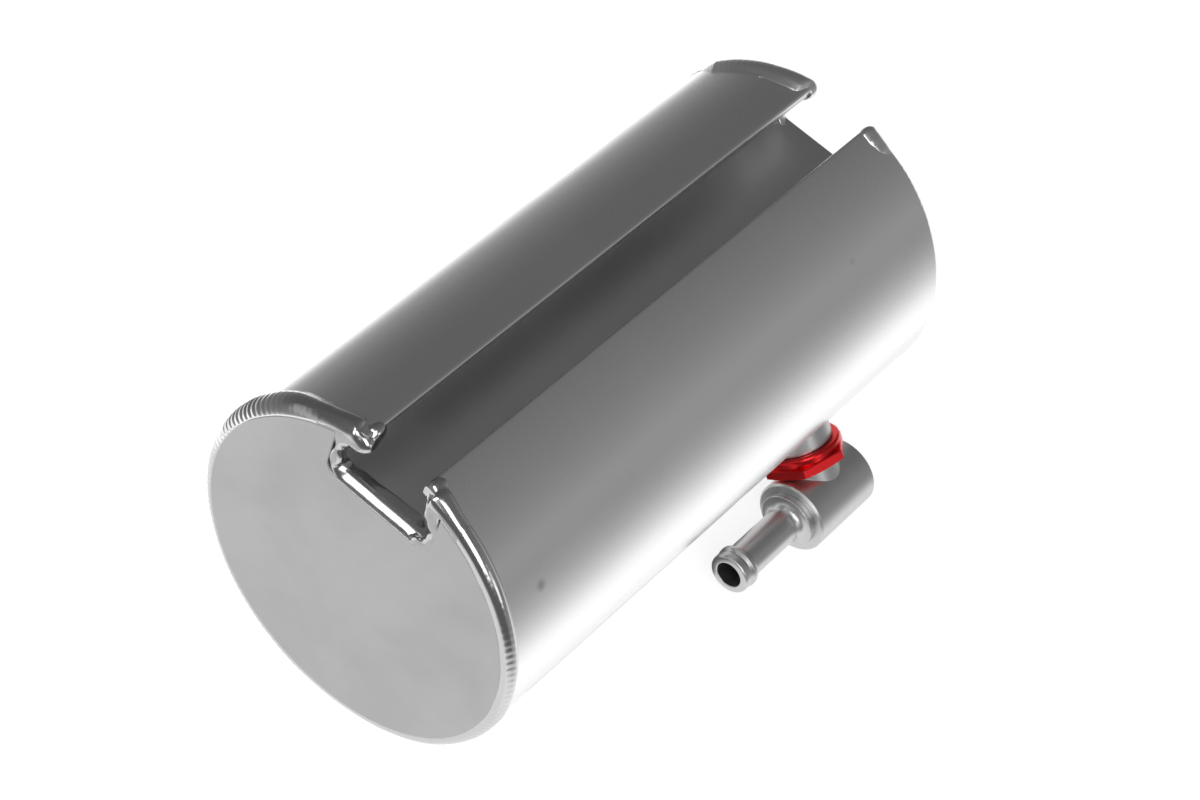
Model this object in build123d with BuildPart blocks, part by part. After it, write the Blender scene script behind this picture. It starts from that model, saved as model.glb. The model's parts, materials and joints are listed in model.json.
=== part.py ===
from build123d import *
from math import asin, cos, degrees, hypot, radians, sin, sqrt, tan
import os

os.makedirs("parts", exist_ok=True)

# Oil catch can, millimetres. An extruded aluminium can lies on its weld beads and on its
# inlet elbow, with its T-slot near the top. X runs from the bottom cap to the top cap,
# Z is up, and the origin is at the middle of the underside of the whole object.

# Can body: one extrusion, a round tube with a T-slot along its whole length
body_radius = 50.0
body_wall = 3.0
body_length = 184.0
slot_mouth = 18.3
slot_width = 30.0
slot_floor = 32.0
lip_round = 0.8

# End caps and the weld beads round them
cap_thickness = 4.0
cap_setback = 2.0
cap_notch_corner = 4.0
bead_radius = 3.2
bead_crown = 1.6

# Inlet elbow on the side of the can
inlet_from_top = 27.4
inlet_angle = 137.5
elbow_radius = 11.25
elbow_length = 27.0
elbow_chamfer = 0.6
elbow_bore = 8.0
elbow_boss_radius = 9.5

# Weld bung that carries the swivel nut
bung_radius = 10.0
bung_spigot = 8.0
bung_stand = 8.7
bung_bore = 7.8
neck_radius = 7.5
nose_radius = 6.9
nose_length = 4.5
bung_weld_size = 2.6

# Swivel nut, its wire ring and the seal on the bung's nose
nut_height = 6.15
nut_collar_radius = 12.0
nut_collar_height = 2.1
nut_collar_round = 0.9
nut_groove_depth = 0.9
nut_groove_width = 1.0
nut_across_flats = 23.0
nut_floor = 2.2
nut_chamfer_angle = 30.0
nut_turn = 22.0
wire_radius = 0.55
seal_section = 1.8
seal_setback = 1.6

# Hose tails
tail_radius = 5.4
tail_bore = 8.4
tail_length = 30.4
tail_collar_radius = 8.6
tail_collar_height = 2.2
tail_flare = 2.6
tail_thread_radius = 6.5
tail_thread_length = 7.5
tail_barb_radius = 6.6
tail_barb_back = 4.6
tail_barb_length = 2.4
tail_tip_radius = 6.0
tail_tip_length = 2.6

# Outlet on the top cap
outlet_offset = 18.0
outlet_bung_radius = 10.0
outlet_bung_height = 6.0
outlet_bung_spigot = 7.6
outlet_thread_radius = 6.0
outlet_hex = 17.0
outlet_hex_height = 5.0
outlet_tail_length = 19.0
washer_thickness = 1.5
washer_radius = 8.5

# Baffle between the inlet and the outlet
baffle_from_top = 14.0
baffle_thickness = 2.0
baffle_hole_radius = 2.5
baffle_pitch = 10.0
baffle_margin = 5.0
baffle_gap = 0.3
tack_size = 3.0

# Clearances
running_gap = 0.05
seat_gap = 0.2

# Heights along the inlet's axis, from the can's axis outwards, each piece seated on the last
bung_shoulder = body_radius + bung_stand
nut_bottom = bung_shoulder + seat_gap
nut_top = nut_bottom + nut_height
elbow_height = nut_top + seat_gap + elbow_radius
nut_hex_bottom = nut_bottom + nut_collar_height + nut_groove_width
nut_chamfer_base = nut_across_flats / 2 + (nut_top - nut_bottom) / tan(radians(nut_chamfer_angle))
wire_height = nut_bottom + nut_floor / 2
boss_top = nut_bottom + nut_floor + seat_gap
neck_top = boss_top - seat_gap
nose_height = neck_top + nose_length
seal_height = nose_height - seal_setback

# How the can lies: the elbow and the beads touch the same floor
rest_radius = body_radius + bead_crown
inlet_dip = degrees(asin((rest_radius - elbow_radius) / elbow_height))
slot_lean = inlet_angle - inlet_dip - 90.0

# Whole length, width and the place of the can's axis
can_length = body_length + 2 * cap_thickness
inlet_from_bottom = can_length - inlet_from_top
baffle_from_bottom = can_length - baffle_from_top
outlet_reach = outlet_bung_height + washer_thickness + outlet_hex_height + outlet_tail_length
elbow_reach = elbow_height * cos(radians(inlet_dip)) + elbow_radius
whole_length = can_length + outlet_reach
bottom_x = -whole_length / 2
axis_y = (elbow_reach - rest_radius) / 2
axis_z = rest_radius

# Planes: across the can with X towards the slot, and along the inlet's own axis
slot_direction = Vector(0, sin(radians(slot_lean)), cos(radians(slot_lean)))
can_plane = Plane(origin=(bottom_x, axis_y, axis_z), x_dir=slot_direction, z_dir=(1, 0, 0))
inlet_direction = Vector(0, -cos(radians(inlet_dip)), -sin(radians(inlet_dip)))
to_bottom = Vector(-1, 0, 0)
inlet_origin = Vector(bottom_x + inlet_from_bottom, axis_y, axis_z)
inlet_plane = Plane(origin=inlet_origin, x_dir=to_bottom, z_dir=inlet_direction)
inlet_section = Plane(origin=inlet_origin, x_dir=to_bottom, z_dir=to_bottom.cross(inlet_direction))
inlet_axis = Axis(inlet_origin, inlet_direction)
elbow_center = inlet_origin + inlet_direction * elbow_height
elbow_plane = Plane(origin=elbow_center, x_dir=inlet_direction, z_dir=to_bottom)
elbow_face = elbow_center + to_bottom * elbow_length / 2
elbow_axis = Axis(elbow_face, to_bottom)
elbow_section = Plane(origin=elbow_face, x_dir=inlet_direction, z_dir=inlet_direction.cross(to_bottom))
outlet_origin = can_plane.from_local_coords((-outlet_offset, 0, can_length))
outlet_plane = Plane(origin=outlet_origin, x_dir=slot_direction, z_dir=(1, 0, 0))
to_top = Vector(1, 0, 0)
outlet_section = Plane(origin=outlet_origin, x_dir=slot_direction, z_dir=slot_direction.cross(to_top))
outlet_axis = Axis(outlet_origin, to_top)


def slot_cavity(inner_radius):
    """The T-slot's open section: its wide part under the lips, and its mouth."""
    with BuildSketch() as cavity:
        with Locations((slot_floor, 0)):
            Rectangle(body_radius, slot_width, align=(Align.MIN, Align.CENTER))
        Circle(inner_radius, mode=Mode.INTERSECT)
        with Locations((slot_floor, 0)):
            Rectangle(body_radius, slot_mouth, align=(Align.MIN, Align.CENTER))
    return cavity.sketch


# Can body, with the slot's walls part of the same extrusion
with BuildPart() as can_body:
    with BuildSketch(can_plane.offset(cap_thickness)) as tube_section:
        Circle(body_radius)
        Circle(body_radius - body_wall, mode=Mode.SUBTRACT)
        with BuildSketch(mode=Mode.PRIVATE) as channel:
            with Locations((slot_floor - body_wall, 0)):
                Rectangle(body_radius, slot_width + 2 * body_wall, align=(Align.MIN, Align.CENTER))
            Circle(body_radius - body_wall / 2, mode=Mode.INTERSECT)
        add(channel.sketch)
        add(slot_cavity(body_radius - body_wall), mode=Mode.SUBTRACT)
        fillet(tube_section.vertices().group_by(Axis.X)[-1], lip_round)
    extrude(amount=body_length)
    with BuildSketch(inlet_plane.offset(body_radius - 2 * body_wall)):
        Circle(bung_spigot + running_gap)
    extrude(amount=3 * body_wall, mode=Mode.SUBTRACT)


def end_cap(sketch_plane, outlet_hole):
    """A round plate, set back from the tube's outside, with a notch round the T-slot."""
    with BuildPart() as plate:
        with BuildSketch(sketch_plane):
            Circle(body_radius - cap_setback)
            with BuildSketch(mode=Mode.PRIVATE) as notch:
                with Locations((slot_floor - cap_setback, 0)):
                    Rectangle(body_radius, slot_width + 2 * cap_setback, align=(Align.MIN, Align.CENTER))
                fillet(notch.vertices().group_by(Axis.X)[0], cap_notch_corner)
            add(notch.sketch, mode=Mode.SUBTRACT)
            if outlet_hole:
                with Locations((-outlet_offset, 0)):
                    Circle(outlet_hole, mode=Mode.SUBTRACT)
        extrude(amount=cap_thickness)
    return plate.part


bottom_cap = end_cap(can_plane, 0)
top_cap = end_cap(can_plane.offset(cap_thickness + body_length), outlet_bung_spigot + running_gap)


def end_weld(end_plane, inward, cap):
    """A round bead along the rim from lip to lip, and a second one round the slot's walls."""
    middle = end_plane.offset(inward * bead_radius)
    bead_line = body_radius + bead_crown - bead_radius
    wall_line = slot_width / 2 + bead_crown
    floor_line = slot_floor - bead_crown
    lip_angle = degrees(asin((slot_mouth / 2 + bead_crown) / bead_line))
    wall_top = sqrt(bead_line**2 - wall_line**2)
    with BuildPart() as weld:
        with BuildLine(middle) as rim:
            CenterArc((0, 0), bead_line, lip_angle, 360 - 2 * lip_angle)
        with BuildSketch(Plane(origin=rim.line @ 0, z_dir=rim.line % 0)):
            Circle(bead_radius)
        sweep(path=rim.line)
        with Locations(rim.line @ 0, rim.line @ 1):
            Sphere(bead_radius)
        with BuildLine(middle) as walls:
            FilletPolyline(
                (wall_top, -wall_line),
                (floor_line, -wall_line),
                (floor_line, wall_line),
                (wall_top, wall_line),
                radius=cap_notch_corner,
            )
        with BuildSketch(Plane(origin=walls.line @ 0, z_dir=walls.line % 0)):
            Circle(bead_radius)
        sweep(path=walls.line)
        with BuildSketch(end_plane.offset(inward * cap_thickness)):
            Circle(body_radius)
            add(slot_cavity(body_radius - body_wall), mode=Mode.SUBTRACT)
        extrude(amount=inward * 2 * bead_radius, mode=Mode.SUBTRACT)
        add(cap, mode=Mode.SUBTRACT)
    return weld.part


bottom_cap_weld = end_weld(can_plane, 1, bottom_cap)
top_cap_weld = end_weld(can_plane.offset(can_length), -1, top_cap)


# Weld bung: its foot is cut to the tube's curve, and a spigot goes through the tube's wall
with BuildPart() as inlet_bung:
    with BuildSketch(inlet_section):
        with Locations((0, body_radius - 3 * body_wall)):
            Rectangle(bung_radius, bung_shoulder - body_radius + 3 * body_wall, align=Align.MIN)
    revolve(axis=inlet_axis)
    with BuildSketch(can_plane):
        Circle(body_radius)
    extrude(amount=can_length, mode=Mode.SUBTRACT)
    with BuildSketch(inlet_section):
        with BuildLine():
            Polyline(
                (0, body_radius - body_wall),
                (bung_spigot, body_radius - body_wall),
                (bung_spigot, bung_shoulder),
                (neck_radius, bung_shoulder),
                (neck_radius, neck_top),
                (nose_radius, neck_top),
                (nose_radius, nose_height),
                (0, nose_height),
                close=True,
            )
        make_face()
    revolve(axis=inlet_axis)
    with BuildSketch(inlet_section):
        Rectangle(bung_bore / 2, elbow_height, align=Align.MIN)
        with Locations((neck_radius, wire_height)):
            Circle(wire_radius + running_gap)
        with Locations((nose_radius, seal_height)):
            Rectangle(2 * seal_section, seal_section + 2 * seat_gap, align=Align.CENTER)
    revolve(axis=inlet_axis, mode=Mode.SUBTRACT)

with BuildPart() as inlet_bung_weld:
    with BuildSketch(inlet_section):
        with Locations((bung_radius, body_radius)):
            Circle(bung_weld_size)
        Rectangle(bung_radius, elbow_height, align=Align.MIN, mode=Mode.SUBTRACT)
    revolve(axis=inlet_axis)
    with BuildSketch(can_plane):
        Circle(body_radius)
    extrude(amount=can_length, mode=Mode.SUBTRACT)

# Seal in the nose's groove
with BuildPart() as inlet_seal:
    with BuildSketch(inlet_section):
        with Locations((nose_radius - seal_section / 2, seal_height)):
            Circle(seal_section / 2)
    revolve(axis=inlet_axis)

# Wire ring, half in the neck and half in the nut's collar, which holds the nut on the bung
with BuildPart() as nut_wire_ring:
    with BuildSketch(inlet_section):
        with Locations((neck_radius + running_gap, wire_height)):
            Circle(wire_radius)
    revolve(axis=inlet_axis)

# Swivel nut: a round collar towards the can, a groove, and a hexagon towards the elbow
with BuildPart() as swivel_nut:
    with BuildSketch(inlet_plane.offset(nut_hex_bottom)):
        RegularPolygon(nut_across_flats / 2, 6, major_radius=False, rotation=nut_turn)
    extrude(amount=nut_top - nut_hex_bottom)
    with BuildSketch(inlet_section):
        with BuildLine():
            Polyline(
                (0, nut_bottom),
                (nut_chamfer_base, nut_bottom),
                (nut_across_flats / 2, nut_top),
                (0, nut_top),
                close=True,
            )
        make_face()
    revolve(axis=inlet_axis, mode=Mode.INTERSECT)
    with BuildSketch(inlet_section):
        with BuildLine():
            Polyline(
                (0, nut_bottom),
                (nut_collar_radius - nut_collar_round, nut_bottom),
                (nut_collar_radius, nut_bottom + nut_collar_round),
                (nut_collar_radius, nut_bottom + nut_collar_height),
                (nut_collar_radius - nut_groove_depth, nut_bottom + nut_collar_height),
                (nut_collar_radius - nut_groove_depth, nut_hex_bottom),
                (0, nut_hex_bottom),
                close=True,
            )
        make_face()
    revolve(axis=inlet_axis)
    with BuildSketch(inlet_section):
        Rectangle(neck_radius + running_gap, elbow_height, align=Align.MIN)
        with Locations((0, nut_bottom + nut_floor)):
            Rectangle(elbow_boss_radius + running_gap, elbow_height, align=Align.MIN)
        with Locations((neck_radius + running_gap, wire_height)):
            Circle(wire_radius)
    revolve(axis=inlet_axis, mode=Mode.SUBTRACT)

# Elbow: a turned cylinder with a boss that screws into the nut, bored from the hose tail's end
with BuildPart() as inlet_elbow:
    with BuildSketch(elbow_plane):
        Circle(elbow_radius)
    extrude(amount=elbow_length / 2, both=True)
    chamfer(inlet_elbow.edges().filter_by(GeomType.CIRCLE), elbow_chamfer)
    with BuildSketch(inlet_plane.offset(boss_top)):
        Circle(elbow_boss_radius)
    extrude(amount=elbow_height - boss_top)
    with BuildSketch(inlet_plane.offset(boss_top)):
        Circle(nose_radius + running_gap)
    extrude(amount=nose_height + seat_gap - boss_top, mode=Mode.SUBTRACT)
    with BuildSketch(inlet_plane.offset(boss_top)):
        Circle(elbow_bore / 2)
    extrude(amount=elbow_height - boss_top, mode=Mode.SUBTRACT)
    with BuildSketch(elbow_plane.offset(elbow_length / 2)):
        Circle(elbow_bore / 2)
    extrude(amount=-elbow_length / 2 - elbow_bore / 2, mode=Mode.SUBTRACT)
    with BuildSketch(elbow_plane.offset(elbow_length / 2)):
        Circle(tail_thread_radius + running_gap)
    extrude(amount=-tail_thread_length - seat_gap, mode=Mode.SUBTRACT)


def hose_tail(section, axis, length, base):
    """A turned tail with a flared root, a barb, and a ring at its tip, over the base outline given."""
    with BuildPart() as tail:
        with BuildSketch(section):
            with BuildLine():
                root = Polyline(*base, (tail_radius + tail_flare, base[-1][1]))
                flare = RadiusArc(root @ 1, (tail_radius, base[-1][1] + tail_flare), tail_flare)
                Polyline(
                    flare @ 1,
                    (tail_radius, length - tail_barb_back - tail_barb_length),
                    (tail_barb_radius, length - tail_barb_back),
                    (tail_radius, length - tail_barb_back),
                    (tail_radius, length - tail_tip_length),
                    (tail_tip_radius, length - tail_tip_length),
                    (tail_tip_radius, length - tail_tip_length / 2),
                    (tail_radius, length),
                    (tail_bore / 2, length),
                    root @ 0,
                )
            make_face()
        revolve(axis=axis)
    return tail.part


with BuildPart() as inlet_hose_tail:
    add(
        hose_tail(
            elbow_section,
            elbow_axis,
            tail_length,
            [
                (tail_bore / 2, -tail_thread_length),
                (tail_thread_radius, -tail_thread_length),
                (tail_thread_radius, 0),
                (tail_collar_radius, 0),
                (tail_collar_radius, tail_collar_height),
            ],
        )
    )

# Outlet on the top cap: a threaded bung, its weld, a washer and a screwed hose tail
with BuildPart() as outlet_bung:
    with BuildSketch(outlet_section):
        Rectangle(outlet_bung_radius, outlet_bung_height, align=Align.MIN)
        with Locations((0, -cap_thickness)):
            Rectangle(outlet_bung_spigot, 2 * cap_thickness, align=Align.MIN)
        with Locations((0, -cap_thickness)):
            Rectangle(outlet_thread_radius, can_length, align=Align.MIN, mode=Mode.SUBTRACT)
    revolve(axis=outlet_axis)

with BuildPart() as outlet_bung_weld:
    with BuildSketch(outlet_section):
        with Locations((outlet_bung_radius, 0)):
            Circle(bung_weld_size)
        Rectangle(outlet_bung_radius, can_length, align=Align.MIN, mode=Mode.SUBTRACT)
        Rectangle(body_radius, can_length, align=(Align.MIN, Align.MAX), mode=Mode.SUBTRACT)
    revolve(axis=outlet_axis)

with BuildPart() as outlet_washer:
    with BuildSketch(outlet_plane.offset(outlet_bung_height)):
        Circle(washer_radius)
        Circle(outlet_thread_radius + running_gap, mode=Mode.SUBTRACT)
    extrude(amount=washer_thickness)

outlet_seat = outlet_bung_height + washer_thickness
with BuildPart() as outlet_hose_tail:
    with BuildSketch(outlet_plane.offset(outlet_seat)):
        RegularPolygon(outlet_hex / 2, 6, major_radius=False)
        Circle(tail_bore / 2, mode=Mode.SUBTRACT)
    extrude(amount=outlet_hex_height)
    add(
        hose_tail(
            outlet_section,
            outlet_axis,
            outlet_reach,
            [
                (tail_bore / 2, outlet_seat - tail_thread_length),
                (outlet_thread_radius - running_gap, outlet_seat - tail_thread_length),
                (outlet_thread_radius - running_gap, outlet_seat + outlet_hex_height),
            ],
        )
    )

# Perforated baffle between the inlet and the outlet, tacked to the wall
with BuildPart() as baffle_plate:
    with BuildSketch(can_plane.offset(baffle_from_bottom)):
        Circle(body_radius - body_wall - baffle_gap)
        with Locations((slot_floor - body_wall - baffle_gap, 0)):
            Rectangle(
                body_radius,
                slot_width + 2 * (body_wall + baffle_gap),
                align=(Align.MIN, Align.CENTER),
                mode=Mode.SUBTRACT,
            )
        hole_reach = body_radius - body_wall - baffle_margin - baffle_hole_radius
        rows = int(hole_reach / baffle_pitch)
        for row in range(-rows, rows + 1):
            for column in range(-rows, rows + 1):
                hole = (row * baffle_pitch, column * baffle_pitch)
                in_notch = hole[0] > slot_floor - body_wall - baffle_margin - baffle_hole_radius
                beside_slot = abs(hole[1]) < slot_width / 2 + body_wall + baffle_margin + baffle_hole_radius
                if hypot(*hole) > hole_reach or (in_notch and beside_slot):
                    continue
                with Locations(hole):
                    Circle(baffle_hole_radius, mode=Mode.SUBTRACT)
    extrude(amount=baffle_thickness)

with BuildPart() as baffle_tacks:
    tack_height = baffle_from_bottom + baffle_thickness
    for angle in (90, 180, 270):
        tack_x = (body_radius - body_wall) * cos(radians(angle))
        tack_y = (body_radius - body_wall) * sin(radians(angle))
        with Locations(can_plane.from_local_coords((tack_x, tack_y, tack_height))):
            Sphere(tack_size)
    add(baffle_plate.part, mode=Mode.SUBTRACT)
    with BuildSketch(can_plane):
        Circle(body_radius + tack_size)
    extrude(amount=tack_height, mode=Mode.SUBTRACT)
    with BuildSketch(can_plane):
        Circle(body_radius + tack_size)
        Circle(body_radius - body_wall, mode=Mode.SUBTRACT)
    extrude(amount=can_length, mode=Mode.SUBTRACT)

nodes = {
    "can_body": can_body.part,
    "bottom_cap": bottom_cap,
    "top_cap": top_cap,
    "bottom_cap_weld": bottom_cap_weld,
    "top_cap_weld": top_cap_weld,
    "inlet_bung": inlet_bung.part,
    "inlet_bung_weld": inlet_bung_weld.part,
    "inlet_seal": inlet_seal.part,
    "nut_wire_ring": nut_wire_ring.part,
    "swivel_nut": swivel_nut.part,
    "inlet_elbow": inlet_elbow.part,
    "inlet_hose_tail": inlet_hose_tail.part,
    "outlet_bung": outlet_bung.part,
    "outlet_bung_weld": outlet_bung_weld.part,
    "outlet_washer": outlet_washer.part,
    "outlet_hose_tail": outlet_hose_tail.part,
    "baffle_plate": baffle_plate.part,
    "baffle_tacks": baffle_tacks.part,
}
for name, piece in nodes.items():
    piece.label = name
    export_step(piece, f"parts/{name}.step")
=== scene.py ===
"""Oil catch can: finishes, weld beads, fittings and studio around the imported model."""

import json
from math import asin, atan2, cos, degrees, pi, radians, sin, sqrt, tan

import bmesh
import bpy
import numpy as np
from bpy.props import FloatProperty, FloatVectorProperty, PointerProperty
from mathutils import Matrix, Vector


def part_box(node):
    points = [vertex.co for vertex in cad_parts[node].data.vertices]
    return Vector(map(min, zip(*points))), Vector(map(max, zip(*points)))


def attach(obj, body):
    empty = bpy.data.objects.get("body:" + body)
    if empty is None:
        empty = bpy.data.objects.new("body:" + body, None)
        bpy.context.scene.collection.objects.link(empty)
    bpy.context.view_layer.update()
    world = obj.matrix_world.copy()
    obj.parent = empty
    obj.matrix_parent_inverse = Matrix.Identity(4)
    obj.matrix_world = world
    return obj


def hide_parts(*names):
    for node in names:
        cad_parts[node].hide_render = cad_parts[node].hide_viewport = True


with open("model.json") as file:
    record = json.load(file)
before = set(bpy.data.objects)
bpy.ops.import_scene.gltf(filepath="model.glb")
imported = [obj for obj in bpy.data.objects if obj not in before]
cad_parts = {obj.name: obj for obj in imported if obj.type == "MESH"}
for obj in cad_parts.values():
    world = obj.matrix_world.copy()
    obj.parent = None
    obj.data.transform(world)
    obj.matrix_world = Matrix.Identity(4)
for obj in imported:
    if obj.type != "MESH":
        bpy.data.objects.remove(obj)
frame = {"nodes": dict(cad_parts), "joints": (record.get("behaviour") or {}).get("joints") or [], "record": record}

bl_info = {
    "name": "Oil Catch Can",
    "version": (1, 0, 0),
    "blender": (4, 5, 0),
    "location": "View3D > Sidebar > Catch Can",
    "description": "Finishes, weld beads, fittings and studio for a welded oil catch can",
    "category": "Object",
}

MM = 0.001
SWIVEL = frame["joints"][0]
MOUNTS = {mount["name"]: mount for mount in frame["record"]["mounts"]}
FITTING_SIDES = 144
BUNG_BEAD_SIDES = 560
PORT_SIDES = 96
BEAD_STEP = 0.2 * MM
FLOW_STEPS = 5
NOTCH_ROUNDS = 24
SMUDGE_SCALE = 22.0
WHITE = (1, 1, 1, 1)
EVEN = (1, 1, 1)

# Marks on the tube: degrees from the slot, mm along the can, radius and height in mm, shade
TUBE_MARKS = (
    (41.8, 156.9, 1.9, 0.16, 1.0),
    (55.0, 16.1, 2.4, 0.0, 0.62),
    (332.3, 25.3, 0.35, 0.08, 1.0),
    (25.6, 125.4, 0.35, 0.08, 1.0),
    (356.0, 33.0, 0.35, 0.08, 1.0),
)

# Rim beads: degrees from the slot, mm along the tube, half the arc's angle, share of the ripples
NEAR_RIM = (
    (0, 6.0, 62, 0.0),
    (11, 9.5, 66, 0.1),
    (15, 7.2, 74, 0.1),
    (23, 5.6, 80, 0.1),
    (31, 5.2, 82, 0.1),
    (40, 5.0, 82, 0.1),
    (50, 4.8, 82, 0.1),
    (62, 4.6, 80, 0.3),
    (90, 4.6, 78, 0.7),
    (130, 5.0, 76, 0.8),
    (180, 5.6, 74, 0.8),
    (230, 6.6, 70, 1.0),
    (262, 7.6, 64, 1.6),
    (290, 8.6, 59, 2.8),
    (300, 9.0, 60, 3.2),
    (312, 9.3, 60, 0.3),
    (320, 8.8, 62, 0.1),
    (328, 7.4, 66, 0.1),
    (335, 6.8, 70, 0.1),
    (349, 7.4, 70, 0.1),
    (360, 7.0, 66, 0.0),
)
FAR_RIM = (
    (0, 5.4, 66, 0.1),
    (12, 6.8, 72, 0.2),
    (19, 5.6, 60, 0.3),
    (24, 2.8, 46, 0.5),
    (60, 2.7, 42, 0.5),
    (90, 3.4, 50, 0.9),
    (180, 4.6, 66, 1.0),
    (270, 3.6, 50, 0.9),
    (303, 4.0, 54, 0.6),
    (312, 8.2, 69, 0.4),
    (345, 8.8, 70, 0.2),
    (360, 8.0, 68, 0.1),
)

# Lumps of weld: degrees from the slot, mm from the axis, mm under the cap's face, three radii in mm
NEAR_LUMPS = (
    (13.2, 47.9, 5.4, (3.1, 2.5, 3.4)),
    (16.5, 46.6, 3.6, (3.4, 3.0, 3.5)),
    (18.0, 44.4, 3.6, (3.8, 3.2, 3.6)),
    (21.0, 42.6, 3.0, (3.6, 2.6, 3.0)),
    (344.9, 46.9, 2.6, (3.4, 5.2, 2.6)),
    (347.9, 47.9, 6.3, (3.0, 2.5, 3.3)),
    (347.0, 46.2, 3.7, (2.8, 3.2, 3.7)),
    (340.0, 46.4, 3.6, (4.6, 4.6, 3.6)),
    (333.5, 46.6, 2.9, (4.0, 4.8, 2.9)),
    (24.2, 43.4, 1.9, (2.9, 2.9, 2.0)),
    (26.0, 38.4, 1.6, (2.9, 2.8, 1.7)),
    (27.5, 34.6, 0.9, (3.3, 3.3, 1.0)),
    (24.0, 33.0, 0.7, (2.9, 2.6, 0.8)),
    (336.5, 39.0, 1.0, (3.4, 2.2, 1.1)),
)
FAR_LUMPS = (
    (12.9, 48.1, 3.5, (3.1, 2.3, 3.4)),
    (15.5, 47.9, 3.7, (3.2, 3.2, 3.6)),
    (18.5, 47.8, 3.5, (2.8, 3.4, 3.4)),
    (17.0, 45.4, 3.2, (2.4, 2.4, 3.0)),
    (345.6, 47.2, 3.3, (2.9, 3.0, 3.2)),
    (347.6, 47.9, 3.0, (2.6, 2.4, 2.9)),
    (342.0, 46.6, 3.2, (3.3, 4.4, 3.1)),
)

# Soft lamps: direction from the can, direction of the wide side, width and height in m, level
LAMP_AIM = Vector((-0.03, 0.0, 0.06))
LAMPS = (
    ((-0.715, 0.407, 0.568), (0.0, 1.0, -0.3), (0.42, 0.54), 1.0),
    ((-0.52, -0.32, 0.79), (0.2, 0.85, 0.4), (0.60, 0.36), 1.0),
    ((-0.045, -0.822, 0.569), (1.0, 0.0, 0.0), (0.24, 0.24), 0.45),
)

# Greys over the tent, from its foot on the side of -Y at 0 to the one on the side of +Y at 1
TENT_GREYS = (
    (0.0, 0.56),
    (0.03, 0.51),
    (0.075, 0.38),
    (0.15, 0.275),
    (0.21, 0.3),
    (0.24, 0.38),
    (0.27, 0.295),
    (0.33, 0.255),
    (0.43, 0.205),
    (0.55, 0.17),
    (0.71, 0.145),
    (0.86, 0.12),
    (0.97, 0.13),
    (1.0, 0.15),
)

# Cards on the floor: name, axis of the greys, ends in X, ends in Y, height in mm, greys
FAR_GREYS = ((0, 2.0), (0.02, 1.8), (0.036, 0.8), (0.055, 0.38), (0.09, 0.29), (0.28, 0.17), (1, 0.13))
NEAR_GREYS = ((0, 1.3), (0.14, 1.15), (0.31, 0.8), (0.83, 0.64), (1, 0.56))
FRONT_GREYS = ((0, 0.9), (0.1, 0.2), (1, 0.12))
# The under card's greys are dark: a painted shadow that stands for the can's own shadow on the floor under its
# side, as reflections show it.
UNDER_SHADOW_GREYS = ((0, 0.12), (0.8, 0.16), (1, 0.3))
FLOOR_CARDS = (
    ("far", "Y", (-0.34, 2.5), (0.086, 0.9), 0.6, FAR_GREYS),
    ("near", "Y", (-0.34, 2.5), (-0.09, -0.9), 0.6, NEAR_GREYS),
    ("front", "X", (-0.24, -1.6), (-0.9, 0.9), 1.2, FRONT_GREYS),
    # The under card is a painted shadow: a dark sheet where the can shades the floor.
    ("under", "X", (-0.06, 0.036), (-0.05, -0.02), 0.6, UNDER_SHADOW_GREYS),
)

# Camera, fitted to the photograph: its place, the way back from the can, and the way to the right
CAMERA_PLACE = (-0.53484, -0.01425, 0.73419)
CAMERA_BACK = (-0.60528, -0.02513, 0.79562)
CAMERA_RIGHT = (0.61174, -0.65421, 0.44473)


def length(name, millimetres, description):
    """A length that a user can change, given in millimetres and kept in metres."""
    metres = millimetres * MM
    return FloatProperty(name=name, description=description, default=metres, unit="LENGTH", precision=4)


def turn(name, angle, description):
    """An angle that a user can change, given in degrees and kept in radians."""
    return FloatProperty(name=name, description=description, default=radians(angle), unit="ROTATION")


def colour(name, rgb, description):
    """A colour that a user can change."""
    return FloatVectorProperty(
        name=name, description=description, default=rgb, subtype="COLOR", size=3, min=0.0, max=1.0
    )


def share(name, value, description):
    """A share from 0 to 1 that a user can change."""
    return FloatProperty(
        name=name, description=description, default=value, min=0.0, max=1.0, subtype="FACTOR"
    )


class CanSizes(bpy.types.PropertyGroup):
    """Sizes of the tube, its T-slot and the two caps"""

    wall: length("Wall", 3.0, "Thickness of the extruded tube and of the slot's walls")
    slot_mouth: length("Slot mouth", 18.3, "Width between the slot's lips")
    slot_width: length("Slot width", 30.0, "Width of the slot under its lips")
    slot_floor: length("Slot floor", 32.0, "Distance from the can's axis to the slot's floor")
    lip_round: length("Lip round", 0.8, "Radius along the slot's lips")
    cap_setback: length("Cap setback", 2.0, "How far the caps stay inside the tube's outside")
    cap_corner: length("Cap corner", 4.0, "Radius in the corners of the caps' notches")
    cap_edge: length("Cap edge", 0.35, "Width of the caps' broken edges")
    tube_start: length("Tube start", 2.2, "Where the tube begins under the weld, from the cap's face")


class WeldSizes(bpy.types.PropertyGroup):
    """Sizes of the weld beads and of the skin over them"""

    inset: length("Inset", 2.5, "How far the bead reaches over a cap's face")
    ripple_pitch: length("Ripple pitch", 2.1, "Distance between two ripples")
    ripple_height: length("Ripple height", 0.18, "Height of the strongest ripples")
    fitting_bead: length("Fitting bead", 2.6, "Size of the beads round the two bungs")
    skin: length("Skin", 0.3, "Size of the faces of the skin that joins beads and lumps")
    notch_zone: length("Notch zone", 8.0, "How far beside the slot the skin is smoothed further")


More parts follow.
